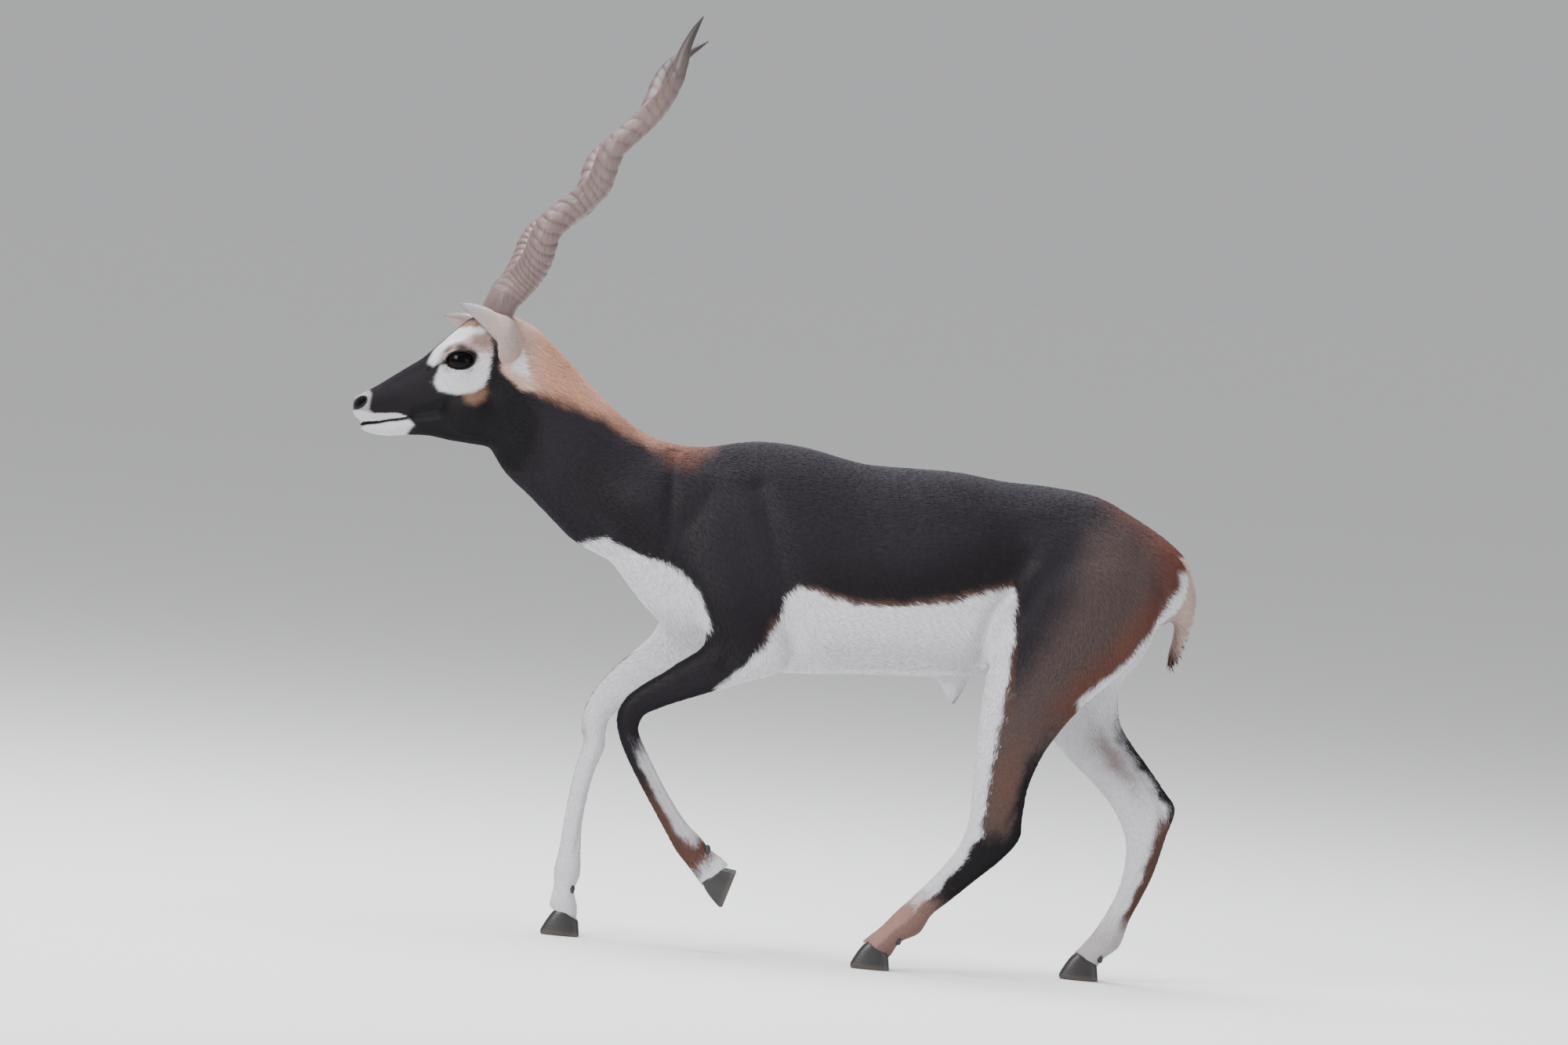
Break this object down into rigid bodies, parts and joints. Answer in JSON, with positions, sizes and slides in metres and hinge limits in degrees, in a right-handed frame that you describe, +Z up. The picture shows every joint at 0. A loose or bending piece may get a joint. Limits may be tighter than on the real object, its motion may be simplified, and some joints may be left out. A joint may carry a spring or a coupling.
{
  "type": "blackbuck",
  "caption": "Life-size adult male blackbuck, still museum-style model of the whole animal, trotting with one forefoot lifted, ringed corkscrew horns raised.",
  "frame": {"origin": "floor level, under the middle of the bounding box", "axes": "+Z up, the head towards -X, the animal's left side towards -Y"},
  "size_m": [1.2613, 0.378, 1.3674],
  "materials": {
    "black_coat": "short hair, soft sheen",
    "white_coat": "short hair, matte",
    "brown_coat": "short hair, matte",
    "tan_coat": "short hair, matte",
    "ear_skin": "thin hair, matte",
    "horn": "ringed, dry",
    "hoof": "dull",
    "eye": "wet"
  },
  "bodies": {
    "root": {"ear_left": "ear_skin", "ear_right": "ear_skin", "eye_left": "eye", "eye_right": "eye", "foreleg_left_arm": "black_coat", "foreleg_left_cannon": "brown_coat", "foreleg_left_forearm": "black_coat", "foreleg_left_hoof_inner": "hoof", "foreleg_left_hoof_outer": "hoof", "foreleg_left_pastern": "white_coat", "foreleg_right_arm": "white_coat", "foreleg_right_cannon": "brown_coat", "foreleg_right_forearm": "white_coat", "foreleg_right_hoof_inner": "hoof", "foreleg_right_hoof_outer": "hoof", "foreleg_right_pastern": "white_coat", "head": "black_coat", "hindleg_left_cannon": "brown_coat", "hindleg_left_hoof_inner": "hoof", "hindleg_left_hoof_outer": "hoof", "hindleg_left_pastern": "white_coat", "hindleg_left_shank": "black_coat", "hindleg_left_thigh": "black_coat", "hindleg_right_cannon": "brown_coat", "hindleg_right_hoof_inner": "hoof", "hindleg_right_hoof_outer": "hoof", "hindleg_right_pastern": "white_coat", "hindleg_right_shank": "white_coat", "hindleg_right_thigh": "white_coat", "horn_left": "horn", "horn_right": "horn", "jaw": "white_coat", "neck": "black_coat", "tail": "tan_coat", "torso": "black_coat"}
  },
  "joints": []
}
